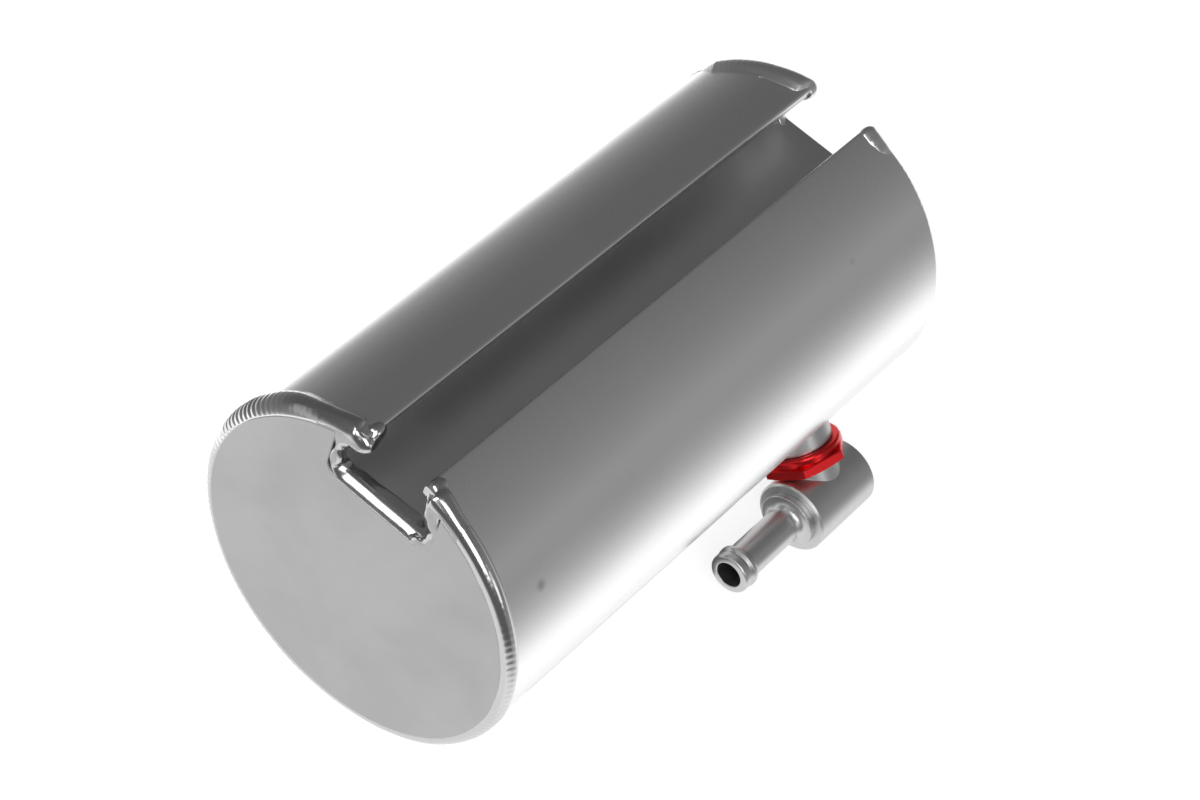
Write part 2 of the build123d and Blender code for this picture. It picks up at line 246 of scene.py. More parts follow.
class FittingSizes(bpy.types.PropertyGroup):
    """Sizes of the swivel nut, the elbow and the hose tails"""

    nut_collar: length("Nut collar", 12.0, "Radius of the swivel nut's collar")
    nut_neck: length("Nut neck", 11.1, "Radius of the groove over the collar")
    nut_flats: length("Nut flats", 23.0, "Width of the swivel nut across its flats")
    nut_height: length("Nut height", 6.15, "Height of the swivel nut")
    nut_collar_height: length("Collar height", 2.1, "Height of the swivel nut's collar")
    nut_groove: length("Nut groove", 1.0, "Width of the groove over the collar")
    nut_gap: length("Nut gap", 0.2, "Gap between the swivel nut and the elbow")
    nut_thread: length("Nut thread", 9.55, "Radius of the bore that takes the elbow's boss")
    nut_hole: length("Nut hole", 7.6, "Radius of the hole round the bung's neck")
    nut_floor: length("Nut floor", 2.2, "Thickness of the nut's floor round that hole")
    nut_turn: turn("Nut turn", 22.0, "Angle of the nut's first corner from the can's length")
    nut_chamfer: turn("Nut chamfer", 14.0, "Slope of the chamfer at the hexagon's end")
    elbow_radius: length("Elbow radius", 11.25, "Radius of the turned elbow")
    tail_radius: length("Tail radius", 5.4, "Radius of a hose tail between its barbs")
    tail_bore: length("Tail bore", 8.4, "Bore of a hose tail")
    tail_thread: length("Tail thread", 6.5, "Radius of the inlet tail's thread")
    tail_collar: length("Tail collar", 8.6, "Radius of the inlet tail's collar")
    tail_flare: length("Tail flare", 2.6, "Radius of the flare at a hose tail's root")
    tail_barb: length("Tail barb", 6.6, "Radius of a hose tail's barb")
    tail_tip: length("Tail tip", 6.3, "Radius of the ring at a hose tail's tip")


class Finishes(bpy.types.PropertyGroup):
    """Colours and roughnesses of the can's metals and rubber"""

    aluminium: colour("Aluminium", (0.84, 0.84, 0.84), "Bare extruded and turned aluminium")
    turned: colour("Turned aluminium", (0.58, 0.58, 0.58), "Satin grey of the turned fittings")
    sheet: colour("Sheet", (0.45, 0.45, 0.45), "Mill finish of the cap plates")
    slot: colour("Slot", (0.60, 0.60, 0.60), "Duller aluminium inside the slot")
    weld: colour("Weld", (0.54, 0.54, 0.54), "Weld metal")
    # Painted light: the far weld is the same weld metal as the near one, in a lighter colour that stands for the
    # bright light on the far end; its bead also lies flatter.
    far_weld_painted_light: colour("Far weld painted light", (0.80, 0.80, 0.80), "Weld metal that lies smooth with the tube")
    anodised: colour("Anodised red", (0.72, 0.026, 0.030), "Dyed coat of the swivel nut")
    rubber: colour("Rubber", (0.018, 0.018, 0.019), "Seal rubber")
    steel: colour("Steel", (0.50, 0.50, 0.51), "Spring steel of the wire ring")
    can_roughness: share("Can roughness", 0.27, "Roughness of the tube")
    sheet_roughness: share("Sheet roughness", 0.46, "Roughness of the cap plates")
    weld_roughness: share("Weld roughness", 0.17, "Roughness of the weld metal")


class Studio(bpy.types.PropertyGroup):
    """Light, tent and lens of the studio"""

    lamp_radiance: FloatProperty(
        name="Lamp radiance", description="Brightness of each soft lamp's face", default=3.4, min=0.0
    )
    behind: share("Behind", 0.15, "Brightness of the tent behind the camera")
    lamp_distance: length("Lamp distance", 750.0, "Distance of the soft lamps from the can")
    tent_radius: length("Tent radius", 900.0, "Radius of the grey tent that the metal mirrors")
    fill: share("Fill", 0.55, "Strength of the even light from all sides")
    lens: FloatProperty(
        name="Lens", description="Focal length on a 36 mm sensor", default=95.892, unit="CAMERA"
    )


def axes(origin, along, across):
    """A place with Z along one direction and X towards another."""
    z = Vector(along).normalized()
    x = Vector(across)
    x = (x - z * x.dot(z)).normalized()
    return Matrix.Translation(origin) @ Matrix((x, z.cross(x), z)).transposed().to_4x4()


def can_place():
    """The can's own axes: Z from the bottom cap to the top cap, X towards the slot."""
    low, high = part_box("can_body")
    middle = (low + high) / 2
    origin = Vector((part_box("bottom_cap")[0].x, middle.y, middle.z))
    slot = Vector(MOUNTS["t_slot"]["pos_m"]) - middle
    return axes(origin, (1, 0, 0), (0, slot.y, slot.z))


def can_radius():
    """The tube's outside radius."""
    low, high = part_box("can_body")
    return (high.y - low.y) / 2


def can_length():
    """The distance between the outside faces of the two caps."""
    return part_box("top_cap")[1].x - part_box("bottom_cap")[0].x


def inlet_height():
    """The distance from the can's axis to the elbow's."""
    place = can_place()
    return (Vector(SWIVEL["pos_m"]) - place.translation).dot(Vector(SWIVEL["axis"]))


def inlet_place():
    """The inlet's own axes: Z out from the can's axis, X towards the bottom cap."""
    outward = Vector(SWIVEL["axis"])
    return axes(Vector(SWIVEL["pos_m"]) - outward * inlet_height(), outward, (-1, 0, 0))


def rounded(corners, steps=5, closed=True):
    """Points along a line of corners (x, y, radius), each corner rounded by an arc."""
    points = []
    for i, (x, y, radius) in enumerate(corners):
        here = Vector((x, y))
        if radius == 0 or (not closed and i in (0, len(corners) - 1)):
            points.append((x, y))
            continue
        before = (Vector(corners[i - 1][:2]) - here).normalized()
        after = (Vector(corners[(i + 1) % len(corners)][:2]) - here).normalized()
        half = before.angle(after) / 2
        middle = here + (before + after).normalized() * radius / sin(half)
        start = here + before * radius / tan(half) - middle
        end = here + after * radius / tan(half) - middle
        turned_by = atan2(start.cross(end), start.dot(end))
        for step in range(steps + 1):
            angle = turned_by * step / steps
            points.append(
                (
                    middle.x + start.x * cos(angle) - start.y * sin(angle),
                    middle.y + start.x * sin(angle) + start.y * cos(angle),
                )
            )
    return np.array(points)


def distances(points):
    """How far along a line each of its points lies."""
    return np.concatenate([[0], np.cumsum(np.linalg.norm(np.diff(points, axis=0), axis=1))])


def grid_faces(rows, columns, wrap_rows=False, wrap_columns=False):
    """Quads between neighbouring points of a grid kept row by row."""
    faces = []
    for r in range(rows if wrap_rows else rows - 1):
        above = (r + 1) % rows
        for c in range(columns if wrap_columns else columns - 1):
            right = (c + 1) % columns
            corners = ((r, c), (r, right), (above, right), (above, c))
            faces.append(tuple(row * columns + column for row, column in corners))
    return faces


def around(count):
    """Evenly spread directions round Z."""
    angles = np.linspace(0, 2 * pi, count, endpoint=False)
    return np.stack([np.cos(angles), np.sin(angles)], axis=-1)


def lofted(ways, rings):
    """Points and quads over closed rings (radius, height) along directions round Z."""
    grid = np.zeros((len(ways), len(rings), 3))
    for i, (radius, height) in enumerate(rings):
        grid[:, i, :2] = ways * np.broadcast_to(radius, len(ways))[:, None]
        grid[:, i, 2] = height
    return grid.reshape(-1, 3), grid_faces(len(ways), len(rings), True, True)


def plate(outlines, bottom, top, edge=0.0):
    """A bmesh plate between two heights, from an outline and the outlines of its holes."""
    bm = bmesh.new()
    for outline in outlines:
        corners = [bm.verts.new((x, y, bottom)) for x, y in outline]
        for i, corner in enumerate(corners):
            bm.edges.new((corner, corners[(i + 1) % len(corners)]))
    bmesh.ops.triangle_fill(bm, use_beauty=True, use_dissolve=True, edges=bm.edges[:])
    made = bmesh.ops.extrude_face_region(bm, geom=bm.faces[:])
    raised = [item for item in made["geom"] if isinstance(item, bmesh.types.BMVert)]
    bmesh.ops.translate(bm, vec=(0, 0, top - bottom), verts=raised)
    if edge:
        rims = [e for e in bm.edges if e.is_manifold and e.calc_face_angle() > radians(60)]
        rims = [e for e in rims if abs(e.verts[0].co.z - e.verts[1].co.z) < 1e-7]
        bmesh.ops.bevel(bm, geom=rims, offset=edge, segments=3, profile=0.5, affect="EDGES")
    return bm


def shell(parts):
    """One bmesh from several lists of points and faces."""
    bm = bmesh.new()
    for points, faces in parts:
        made = [bm.verts.new(point) for point in points]
        for face in faces:
            bm.faces.new([made[i] for i in face])
    return bm


def finish_piece(name, bm, place, body, materials, replaced, sharp=35.0):
    """Makes an object of a bmesh, shades it, and lets it ride on its body for the nodes it replaces."""
    bmesh.ops.recalc_face_normals(bm, faces=bm.faces[:])
    bmesh.ops.transform(bm, matrix=place, verts=bm.verts[:])
    mesh = bpy.data.meshes.new(name)
    bm.to_mesh(mesh)
    bm.free()
    mesh.shade_smooth()
    mesh.set_sharp_from_angle(angle=radians(sharp))
    piece = bpy.data.objects.new(name, mesh)
    bpy.context.scene.collection.objects.link(piece)
    for material in materials:
        mesh.materials.append(material)
    weights = piece.modifiers.new("face weights", "WEIGHTED_NORMAL")
    weights.keep_sharp = True
    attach(piece, body)
    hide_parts(replaced)


def melted(bm, sizes, weld):
    """One smooth skin over overlapping lumps and beads, as weld metal that has run together."""
    mesh = bpy.data.meshes.new("melt")
    bm.to_mesh(mesh)
    bm.free()
    rough = bpy.data.objects.new("melt", mesh)
    bpy.context.scene.collection.objects.link(rough)
    remesh = rough.modifiers.new("skin", "REMESH")
    remesh.mode = "VOXEL"
    remesh.voxel_size = weld.skin
    smooth = rough.modifiers.new("flow", "SMOOTH")
    smooth.factor = 0.5
    smooth.iterations = FLOW_STEPS
    skin = rough.evaluated_get(bpy.context.evaluated_depsgraph_get()).to_mesh()
    joined = bmesh.new()
    joined.from_mesh(skin)
    rough.to_mesh_clear()
    bpy.data.objects.remove(rough)
    bpy.data.meshes.remove(mesh)
    lowest, widest = sizes.slot_floor - 5 * MM, sizes.slot_width / 2 + weld.notch_zone
    pool = [v for v in joined.verts if v.co.x > lowest and abs(v.co.y) < widest]
    for _ in range(NOTCH_ROUNDS):
        bmesh.ops.smooth_vert(
            joined, verts=pool, factor=0.5, use_axis_x=True, use_axis_y=True, use_axis_z=True
        )
    return joined


def wander(places, pitch, seed):
    """A smooth random value from -1 to 1 along a line, with a new value each pitch."""
    knots = np.random.default_rng(seed).uniform(-1, 1, int(places[-1] / pitch) + 3)
    steps = places / pitch
    index = steps.astype(int)
    blend = (1 - np.cos((steps - index) * pi)) / 2
    return knots[index] * (1 - blend) + knots[index + 1] * blend


def bead(line, outward, inset, reach, bulge, ripple, pitch, sections=18):
    """Points and faces of a weld bead along a line on a wall's edge, in the can's axes.

    Its section is an arc from inset behind the line on the cap's face to reach along the wall,
    and bulge is half the arc's angle. Its ripples are crescents across the bead.
    """
    places = distances(line)
    ends = np.clip(np.minimum(places, places[-1] - places) / (1.6 * MM), 0, 1)
    taper = 0.35 + 0.65 * np.sqrt(ends * (2 - ends))
    inset, reach = inset * taper, reach * taper
    chord, lean = np.hypot(inset, reach), np.arctan2(inset, reach)
    size = chord / (2 * np.sin(bulge))
    centre_out = -inset / 2 - reach / chord * size * np.cos(bulge)
    centre_in = reach / 2 + inset / chord * size * np.cos(bulge)
    rows = np.zeros((len(places), sections + 3, 3))
    for i, t in enumerate(np.linspace(-1, 1, sections)):
        across = cos(pi * t / 2)
        wave = np.abs(np.sin(pi * (places / pitch + 0.9 * across))) ** 0.8 - 0.62
        arm = size + ripple * wave * across**0.5
        out = centre_out + arm * np.cos(lean - bulge * t)
        deep = centre_in - arm * np.sin(lean - bulge * t)
        toe = np.clip((reach - deep) / (0.45 * reach), 0, 1) if t > 0 else 1.0
        out = np.where(out > 0, out * toe * (2 - toe), out)
        rows[:, i, :2] = line + outward * out[:, None]
        rows[:, i, 2] = deep
    rows[:, :sections, 2] = np.maximum(rows[:, :sections, 2], 0.01 * MM)
    back = ((-0.9 * MM, reach), (-1.6 * MM, reach * 0.6), (-inset - 0.2 * MM, 0.9 * MM))
    for i, (out, deep) in enumerate(back):
        rows[:, sections + i, :2] = line + outward * np.broadcast_to(out, len(places))[:, None]
        rows[:, sections + i, 2] = deep
    return rows.reshape(-1, 3), closed_grid(len(places), sections + 3)


def closed_grid(rows, columns):
    """Quads of a grid whose rows are rings, with a face over the first ring and the last."""
    faces = grid_faces(rows, columns, False, True)
    faces.append(tuple(range(columns)))
    faces.append(tuple((rows - 1) * columns + i for i in range(columns)))
    return faces


def lump(angle, out, deep, radii, sides=28):
    """Points and faces of a rounded lump of weld metal, in the can's axes, from a row of a table."""
    way = radians(angle)
    centre = np.array((out * MM * cos(way), out * MM * sin(way), deep * MM))
    tilts = np.linspace(0.02, pi - 0.02, sides)
    angles = np.linspace(0, 2 * pi, 2 * sides, endpoint=False)
    x = np.outer(np.sin(tilts), np.cos(angles))
    y = np.outer(np.sin(tilts), np.sin(angles))
    z = np.outer(np.cos(tilts), np.ones(2 * sides))
    ball = np.stack([x, y, z], axis=-1).reshape(-1, 3)
    points = ball * np.array([size * MM for size in radii]) + centre
    points[:, 2] = np.maximum(points[:, 2], 0.01 * MM)
    return points, closed_grid(sides, 2 * sides)


def tube_outlines(sizes, radius):
    """The tube's outside with its slot, and the hollow inside it, in the can's axes."""
    mouth, width = sizes.slot_mouth / 2, sizes.slot_width / 2
    inner = radius - sizes.wall
    start = asin(mouth / radius) + 0.035
    corners = [(sqrt(radius**2 - mouth**2), mouth, sizes.lip_round)]
    corners += [(radius * cos(a), radius * sin(a), 0) for a in np.linspace(start, 2 * pi - start, 300)]
    corners += [(sqrt(radius**2 - mouth**2), -mouth, sizes.lip_round)]
    corners += [(sqrt(inner**2 - mouth**2), -mouth, 0.4 * MM)]
    corners += [(sqrt(inner**2 - width**2), -width, 0.3 * MM)]
    corners += [(sizes.slot_floor, -width, 0.4 * MM), (sizes.slot_floor, width, 0.4 * MM)]
    corners += [(sqrt(inner**2 - width**2), width, 0.3 * MM)]
    corners += [(sqrt(inner**2 - mouth**2), mouth, 0.4 * MM)]
    wall, floor = width + sizes.wall, sizes.slot_floor - sizes.wall
    start = asin(wall / inner)
    hollow = [(inner * cos(a), inner * sin(a)) for a in np.linspace(start, 2 * pi - start, 160)]
    hollow += [(floor, -wall), (floor, wall)]
    return rounded(corners), np.array(hollow)


def cap_outline(sizes, radius):
    """A cap's outline, a circle with a notch round the slot, in the can's axes."""
    edge = radius - sizes.cap_setback
    wall, floor = sizes.slot_width / 2 + sizes.cap_setback, sizes.slot_floor - sizes.cap_setback
    start = asin(wall / edge)
    corners = [(edge * cos(a), edge * sin(a), 0) for a in np.linspace(start, 2 * pi - start, 220)]
    corners += [(floor, -wall, sizes.cap_corner), (floor, wall, sizes.cap_corner)]
    return rounded(corners, steps=10)


def node(tree, kind, inputs=None, **settings):
    """Adds a shader node, sets it, and fills or links its inputs."""
    made = tree.nodes.new("ShaderNode" + kind)
    for name, value in settings.items():
        setattr(made, name, value)
    for name, value in (inputs or {}).items():
        if isinstance(value, bpy.types.NodeSocket):
            tree.links.new(value, made.inputs[name])
        else:
            made.inputs[name].default_value = value
    return made


def calculate(tree, operation, *values):
    """The result of a Math node for numbers or sockets."""
    return node(tree, "Math", dict(enumerate(values)), operation=operation).outputs[0]


def remap(tree, value, start, end, low=0.0, high=1.0, kind="LINEAR"):
    """The result of a Map Range node for a socket."""
    inputs = {"Value": value, "From Min": start, "From Max": end, "To Min": low, "To Max": high}
    return node(tree, "MapRange", inputs, interpolation_type=kind).outputs["Result"]


def fresh_tree(material):
    """A material's or a world's node tree, emptied."""
    material.use_nodes = True
    material.node_tree.nodes.clear()
    return material.node_tree


def effect_group(name, inputs, outputs):
    """An empty shader node group with named float and vector sockets, and its two ends."""
    tree = bpy.data.node_groups.new(name, "ShaderNodeTree")
    for label, kind, value in inputs:
        socket = tree.interface.new_socket(label, in_out="INPUT", socket_type=kind)
        socket.default_value = value
    for label in outputs:
        tree.interface.new_socket(label, in_out="OUTPUT", socket_type="NodeSocketFloat")
    return tree, tree.nodes.new("NodeGroupInput").outputs, tree.nodes.new("NodeGroupOutput").inputs


def grain_group():
    """Fine lines or grain left by drawing, rolling or turning, stretched along a direction."""
    found = bpy.data.node_groups.get("Metal grain")
    if found:
        return found
    tree, given, out = effect_group(
        "Metal grain",
        [("Stretch", "NodeSocketVector", EVEN), ("Scale", "NodeSocketFloat", 1000.0)],
        ["Height", "Tone"],
    )
    place = node(tree, "TexCoord").outputs["Object"]
    drawn = node(tree, "VectorMath", {0: place, 1: given["Stretch"]}, operation="MULTIPLY")
    drawn = drawn.outputs[0]
    fine = node(tree, "TexNoise", {"Vector": drawn, "Scale": given["Scale"], "Detail": 3.0})
    wide = calculate(tree, "MULTIPLY", given["Scale"], 0.13)
    coarse = node(tree, "TexNoise", {"Vector": drawn, "Scale": wide, "Detail": 2.0})
    both = calculate(tree, "MULTIPLY_ADD", fine.outputs["Fac"], 0.6, coarse.outputs["Fac"])
    tree.links.new(both, out["Height"])
    tree.links.new(coarse.outputs["Fac"], out["Tone"])
    return tree


def marks_group():
    """Soft smudges and short scratches from handling."""
    found = bpy.data.node_groups.get("Handling marks")
    if found:
        return found
    tree, given, out = effect_group(
        "Handling marks", [("Scale", "NodeSocketFloat", 20.0)], ["Smudges", "Scratches"]
    )
    place = node(tree, "TexCoord").outputs["Object"]
    inputs = {"Vector": place, "Scale": given["Scale"], "Detail": 4.0, "Distortion": 0.6}
    cloud = node(tree, "TexNoise", inputs)
    smudges = remap(tree, cloud.outputs["Fac"], 0.42, 0.68, kind="SMOOTHSTEP")
    askew = node(tree, "Mapping", {"Vector": place, "Rotation": (0.6, 0.4, 0.9), "Scale": (1, 14, 14)})
    lines = node(tree, "TexNoise", {"Vector": askew.outputs[0], "Scale": 55.0, "Detail": 1.0})
    tree.links.new(smudges, out["Smudges"])
    tree.links.new(remap(tree, lines.outputs["Fac"], 0.70, 0.76), out["Scratches"])
    return tree


def spot_group():
    """A soft round spot about a place."""
    found = bpy.data.node_groups.get("Round spot")
    if found:
        return found
    tree, given, out = effect_group(
        "Round spot",
        [("Place", "NodeSocketVector", (0, 0, 0)), ("Radius", "NodeSocketFloat", 0.001)],
        ["Mask"],
    )
    place = node(tree, "TexCoord").outputs["Object"]
    away = node(tree, "VectorMath", {0: place, 1: given["Place"]}, operation="DISTANCE")
    mask = remap(tree, away.outputs["Value"], given["Radius"], 0.0, kind="SMOOTHSTEP")
    tree.links.new(mask, out["Mask"])
    return tree


def metal(name, rgb, roughness, stretch, scale, depth, tone=0.04, smudge=0.06, metallic=1.0):
    """A metal whose colour, roughness and surface change with its grain and handling marks."""
    material = bpy.data.materials.new(name)
    material.use_nodes = True
    tree = material.node_tree
    shader = tree.nodes["Principled BSDF"]
    inputs = {"Stretch": stretch, "Scale": scale}
    grain = node(tree, "Group", inputs, node_tree=grain_group()).outputs
    marks = node(tree, "Group", {"Scale": SMUDGE_SCALE}, node_tree=marks_group()).outputs
    dark = tuple(c * (1 - tone) for c in rgb) + (1.0,)
    light = tuple(min(c * (1 + tone), 1.0) for c in rgb) + (1.0,)
    blend = node(tree, "Mix", {0: grain["Tone"], 6: dark, 7: light}, data_type="RGBA")
    tree.links.new(blend.outputs[2], shader.inputs["Base Color"])
    rough = remap(tree, marks["Smudges"], 0.0, 1.0, roughness, roughness + smudge)
    worn = calculate(tree, "MULTIPLY_ADD", marks["Scratches"], 0.02, rough)
    tree.links.new(worn, shader.inputs["Roughness"])
    relief = node(tree, "Bump", {"Height": grain["Height"], "Strength": 1.0, "Distance": depth})
    tree.links.new(relief.outputs["Normal"], shader.inputs["Normal"])
    shader.inputs["Metallic"].default_value = metallic
    return material


def blemish(material, place, radius, rise, shade):
    """Adds a small round mark, raised by rise, whose colour is multiplied by shade."""
    tree = material.node_tree
    shader = tree.nodes["Principled BSDF"]
    spot = node(tree, "Group", {"Place": place, "Radius": radius}, node_tree=spot_group())
    mask = spot.outputs["Mask"]
    normal = shader.inputs["Normal"].links[0].from_socket
    inputs = {"Height": mask, "Strength": 1.0, "Distance": rise, "Normal": normal}
    relief = node(tree, "Bump", inputs)
    tree.links.new(relief.outputs["Normal"], shader.inputs["Normal"])
    plain = shader.inputs["Base Color"].links[0].from_socket
    inputs = {0: mask, 6: plain, 7: (shade, shade, shade, 1.0)}
    tint = node(tree, "Mix", inputs, data_type="RGBA", blend_type="MULTIPLY")
    tree.links.new(tint.outputs[2], shader.inputs["Base Color"])


def dress_node(name, material):
    """Gives a CAD node's object a finished material."""
    for slot in frame["nodes"][name].material_slots:
        slot.material = material


class CATCHCAN_OT_stage(bpy.types.Operator):
    """Adds the pale floor, the grey tent, the soft lamps, the world and the camera"""

    bl_idname = "catch_can.stage"
    bl_label = "Stage"

    def execute(self, context):
        studio = context.scene.catch_can_studio
        self.world(context, studio)
        self.floor()
        self.tent(studio)
        self.floor_cards()
        for towards, along, size, level in LAMPS:
            self.lamp(studio, Vector(towards), Vector(along), size, level)
        self.camera(context, studio)
        context.scene.view_settings.view_transform = "Standard"
        return {"FINISHED"}

    def shown(self, tree):
        """1 for rays that show the background: camera, glossy and transmission rays."""
        path = node(tree, "LightPath").outputs
        direct = calculate(tree, "MAXIMUM", path["Is Camera Ray"], path["Is Glossy Ray"])
        return calculate(tree, "MAXIMUM", direct, path["Is Transmission Ray"])

    def world(self, context, studio):
        """White where it is seen, and an even grey light elsewhere."""
        world = bpy.data.worlds.new("white room")
        tree = fresh_tree(world)
        light = node(tree, "Background", {"Color": WHITE, "Strength": studio.fill}).outputs[0]
        seen = node(tree, "Background", {"Color": WHITE, "Strength": 1.0}).outputs[0]
        both = node(tree, "MixShader", {0: self.shown(tree), 1: light, 2: seen})
        node(tree, "OutputWorld", {"Surface": both.outputs[0]})
        context.scene.world = world

    def floor(self):
        """A pale floor that is white where it is lit and keeps the object's shadow."""
        material = bpy.data.materials.new("pale floor")
        tree = fresh_tree(material)
        lit = node(tree, "BsdfDiffuse", {"Color": (0.30, 0.30, 0.30, 1)}).outputs[0]
        glow = node(tree, "Emission", {"Color": WHITE, "Strength": 0.80}).outputs[0]
        sheen = node(tree, "AddShader", {0: lit, 1: glow}).outputs[0]
        plain = node(tree, "BsdfDiffuse", {"Color": (0.75, 0.75, 0.75, 1)}).outputs[0]
        both = node(tree, "MixShader", {0: self.shown(tree), 1: plain, 2: sheen})
        node(tree, "OutputMaterial", {"Surface": both.outputs[0]})
        corners = [(-6, -6, 0), (6, -6, 0), (6, 6, 0), (-6, 6, 0)]
        return self.stand("floor", corners, [(0, 1, 2, 3)], material)

    def stand(self, name, points, faces, material):
        """An object of the studio, from points and faces."""
        mesh = bpy.data.meshes.new(name)
        mesh.from_pydata(points, [], faces)
        mesh.materials.append(material)
        made = bpy.data.objects.new(name, mesh)
        bpy.context.scene.collection.objects.link(made)
        return made

    def tent(self, studio):
        """A half tunnel over the can that only reflections see, grey above and dark behind the camera."""
        angles = np.linspace(0, pi, 61)
        points = []
        for x in (-1.6, 2.5):
            points += [(x, -studio.tent_radius * cos(a), studio.tent_radius * sin(a)) for a in angles]
        ends = [tuple(range(len(angles))), tuple(range(len(angles), 2 * len(angles)))]
        material, place, strength = self.card_material("light tent")
        tree = material.node_tree
        back = calculate(tree, "MULTIPLY", place["Y"], -1.0)
        part = calculate(tree, "DIVIDE", calculate(tree, "ARCTAN2", place["Z"], back), pi)
        over = calculate(tree, "ADD", self.ramp(tree, part, TENT_GREYS), -studio.behind)
        near = remap(tree, place["X"], -0.25, 0.05)
        level = calculate(tree, "MULTIPLY_ADD", over, near, studio.behind)
        tree.links.new(level, strength)
        return self.card("light_tent", points, grid_faces(2, len(angles)) + ends, material)

    def floor_cards(self):
        """Cards on the floor beside and under the can, which only reflections see; the dark card under the can is
        a painted shadow.
        """
        cards = []
        for name, axis, x, y, height, greys in FLOOR_CARDS:
            points = [(x[i], y[j], height * MM) for i, j in ((0, 0), (1, 0), (1, 1), (0, 1))]
            material, place, strength = self.card_material(name + " card")
            tree = material.node_tree
            across = remap(tree, place[axis], *(x if axis == "X" else y))
            tree.links.new(self.ramp(tree, across, greys), strength)
            cards.append(self.card(name + "_card", points, [(0, 1, 2, 3)], material))
        return cards

    def card_material(self, name):
        """A glowing material, with the parts of the place on it and the socket of its strength."""
        material = bpy.data.materials.new(name)
        tree = fresh_tree(material)
        place = node(tree, "TexCoord").outputs["Object"]
        glow = node(tree, "Emission", {"Color": WHITE})
        node(tree, "OutputMaterial", {"Surface": glow.outputs[0]})
        return material, node(tree, "SeparateXYZ", {0: place}).outputs, glow.inputs["Strength"]

    def ramp(self, tree, value, greys):
        """A grey level that follows stops (place, level); the levels may pass 1."""
        top = max(level for at, level in greys)
        ramp = node(tree, "ValToRGB", {"Fac": value})
        for i, (at, level) in enumerate(greys):
            stop = ramp.color_ramp.elements[i] if i < 2 else ramp.color_ramp.elements.new(at)
            stop.position = at
            stop.color = (level / top, level / top, level / top, 1)
        return calculate(tree, "MULTIPLY", ramp.outputs["Color"], top)

    def card(self, name, points, faces, material):
        """A card that the camera and the lamps' light pass through."""
        card = self.stand(name, points, faces, material)
        card.visible_camera = False
        card.visible_diffuse = False
        card.visible_shadow = False
        card.visible_volume_scatter = False
        return card

    def lamp(self, studio, towards, along, size, level):
        """A soft lamp in a direction from the can, wide along another direction."""
        data = bpy.data.lights.new("soft lamp", "AREA")
        data.shape = "RECTANGLE"
        data.size, data.size_y = size
        data.energy = level * studio.lamp_radiance * pi * size[0] * size[1]
        lamp = bpy.data.objects.new("soft lamp", data)
        bpy.context.scene.collection.objects.link(lamp)
        lamp.matrix_world = axes(LAMP_AIM + towards.normalized() * studio.lamp_distance, towards, along)
        lamp.visible_camera = False

    def camera(self, context, studio):
        """A camera at the photograph's angle."""
        data = bpy.data.cameras.new("camera")
        data.lens = studio.lens
        data.sensor_width = 36.0
        data.clip_start = 0.01
        camera = bpy.data.objects.new("camera", data)
        context.scene.collection.objects.link(camera)
        camera.matrix_world = axes(CAMERA_PLACE, CAMERA_BACK, CAMERA_RIGHT)
        context.scene.camera = camera


class CATCHCAN_OT_body(bpy.types.Operator):
    """Adds the extruded tube with its T-slot, rounded along the lips"""

    bl_idname = "catch_can.body"
    bl_label = "Can body"

    def execute(self, context):
        sizes, finish = context.scene.catch_can_sizes, context.scene.catch_can_finishes
        place, radius, start = can_place(), can_radius(), sizes.tube_start
        bm = plate(tube_outlines(sizes, radius), start, can_length() - start)
        for face in bm.faces:
            under_skin = face.calc_center_median().xy.length < radius - sizes.wall / 2
            face.material_index = 1 if under_skin else 0
        rgb, rough = finish.aluminium, finish.can_roughness
        skin = metal("can aluminium", rgb, rough, (0.012, 1, 1), 900.0, 0.000006, tone=0.03, smudge=0.03)
        for angle, along, size, rise, shade in TUBE_MARKS:
            way = radians(angle)
            mark = place @ Vector((radius * cos(way), radius * sin(way), along * MM))
            blemish(skin, mark, size * MM, rise * MM, shade)
        inside = metal("slot aluminium", finish.slot, 0.38, (0.02, 1, 1), 700.0, 0.00004, tone=0.06)
        finish_piece("tube", bm, place, "can", [skin, inside], "can_body")
        return {"FINISHED"}


class CATCHCAN_OT_caps(bpy.types.Operator):
    """Adds the two cap plates, with broken edges and a notch round the slot"""

    bl_idname = "catch_can.caps"
    bl_label = "End caps"

    def execute(self, context):
        sizes, finish = context.scene.catch_can_sizes, context.scene.catch_can_finishes
        place, end = can_place(), can_length()
        rough = finish.sheet_roughness
        sheet = metal("cap sheet", finish.sheet, rough, EVEN, 1500.0, 0.00003, tone=0.03, smudge=0.10)
        outline = cap_outline(sizes, can_radius())
        low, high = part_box("bottom_cap")
        thickness = high.x - low.x
        bm = plate([outline], 0, thickness, sizes.cap_edge)
        finish_piece("near_cap", bm, place, "can", [sheet], "bottom_cap")
        port = place.inverted() @ Vector(MOUNTS["outlet_port"]["pos_m"])
        low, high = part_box("outlet_bung")
        hole = (high.y - low.y) / 2 - 1 * MM
        ring = around(PORT_SIDES) * hole + np.array(port.xy)
        bm = plate([outline, ring], end - thickness, end, sizes.cap_edge)
        finish_piece("far_cap", bm, place, "can", [sheet], "top_cap")
        return {"FINISHED"}


